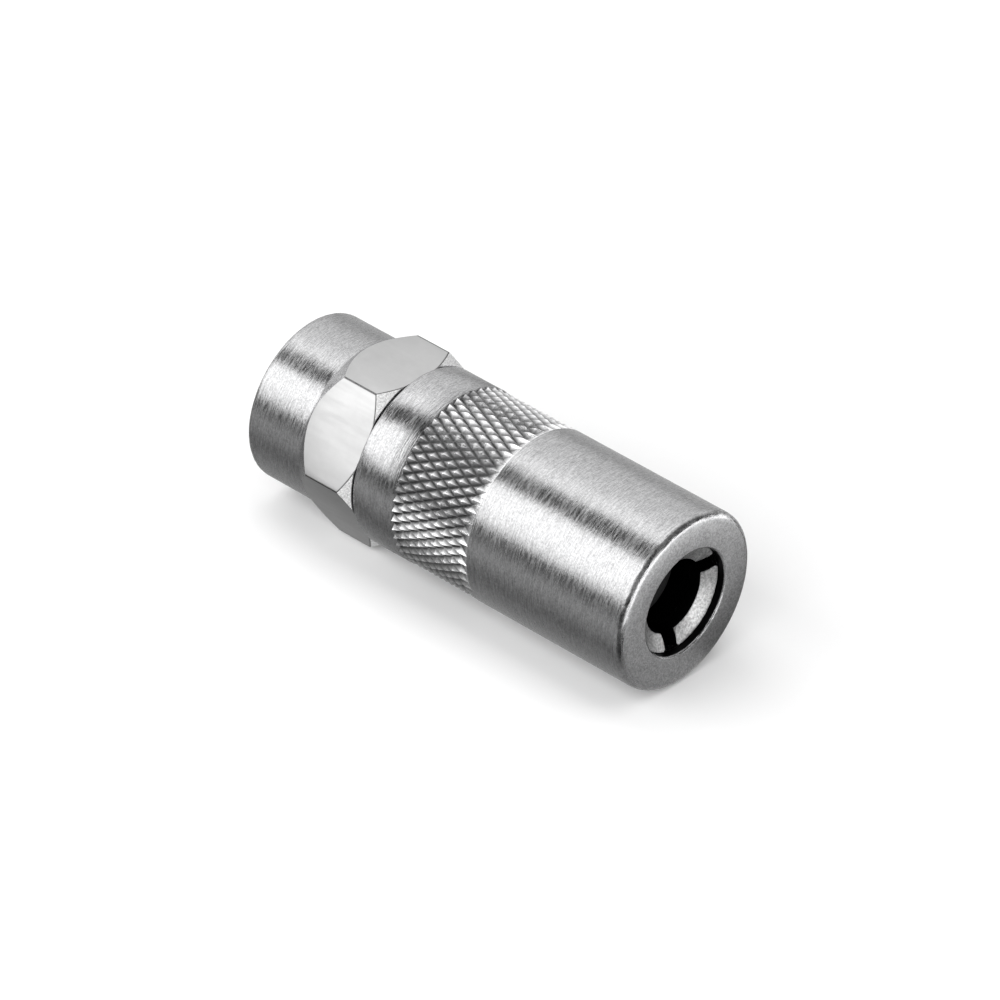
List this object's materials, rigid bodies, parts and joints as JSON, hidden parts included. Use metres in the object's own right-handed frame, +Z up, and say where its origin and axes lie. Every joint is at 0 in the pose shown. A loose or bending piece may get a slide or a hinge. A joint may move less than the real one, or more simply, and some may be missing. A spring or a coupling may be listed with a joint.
{
  "type": "grease coupler",
  "caption": "Screw-on grease coupler: hexagon inlet body with a female pipe thread, knurled sleeve, and spring-loaded jaws that grip a grease nipple.",
  "frame": {"origin": "on the coupler's axis, at the rear face where the hose screws in", "axes": "+X along the axis towards the nose, +Z up with two flats of the hexagon level, the coupler lying on its side"},
  "size_m": [0.039, 0.0166, 0.015],
  "materials": {
    "body_steel": "nickel-plated steel with turning lines, bright smooth flats on the hexagon",
    "sleeve_steel": "nickel-plated steel with fine lines round the sleeve and a diamond knurl",
    "jaw_steel": "hardened steel, satin",
    "piston_steel": "plain turned steel",
    "spring_steel": "drawn spring wire",
    "ball_steel": "polished bearing ball",
    "seal_rubber": "black nitrile rubber"
  },
  "bodies": {
    "inlet_end": {"inlet_body": "body_steel", "gland_ring": "piston_steel", "piston_o_ring": "seal_rubber", "check_retainer": "piston_steel", "check_spring": "spring_steel", "main_spring": "spring_steel"},
    "sleeve": {"sleeve": "sleeve_steel"},
    "piston": {"piston": "piston_steel", "nose_seal": "seal_rubber"},
    "jaw_1": {"jaw_1": "jaw_steel"},
    "jaw_2": {"jaw_2": "jaw_steel"},
    "jaw_3": {"jaw_3": "jaw_steel"},
    "check_ball": {"check_ball": "ball_steel"}
  },
  "joints": [
    {"name": "sleeve_turn", "type": "hinge", "parent": "inlet_end", "child": "sleeve", "pos_m": [0.0115, 0, 0], "axis": [1, 0, 0], "range_deg": [0, 360]},
    {"name": "piston_slide", "type": "slide", "parent": "inlet_end", "child": "piston", "axis": [-1, 0, 0], "range_m": [0, 0.002], "stiffness_N_per_m": 500, "springref_m": -0.004, "deforming": ["main_spring"]},
    {"name": "check_ball_lift", "type": "slide", "parent": "inlet_end", "child": "check_ball", "axis": [1, 0, 0], "range_m": [0, 0.001], "stiffness_N_per_m": 450, "springref_m": -0.0005, "deforming": ["check_spring"]},
    {"name": "jaw_1_open", "type": "slide", "parent": "piston", "child": "jaw_1", "axis": [0, 0.7986, -0.6018], "range_m": [0, 0.00073]},
    {"name": "jaw_2_open", "type": "slide", "parent": "piston", "child": "jaw_2", "axis": [0, 0.1219, 0.9925], "range_m": [0, 0.00073]},
    {"name": "jaw_3_open", "type": "slide", "parent": "piston", "child": "jaw_3", "axis": [0, -0.9205, -0.3907], "range_m": [0, 0.00073]}
  ],
  "couplings": [
    {"joint": "jaw_1_open", "follows": "piston_slide", "ratio": 0.36397},
    {"joint": "jaw_2_open", "follows": "piston_slide", "ratio": 0.36397},
    {"joint": "jaw_3_open", "follows": "piston_slide", "ratio": 0.36397}
  ]
}
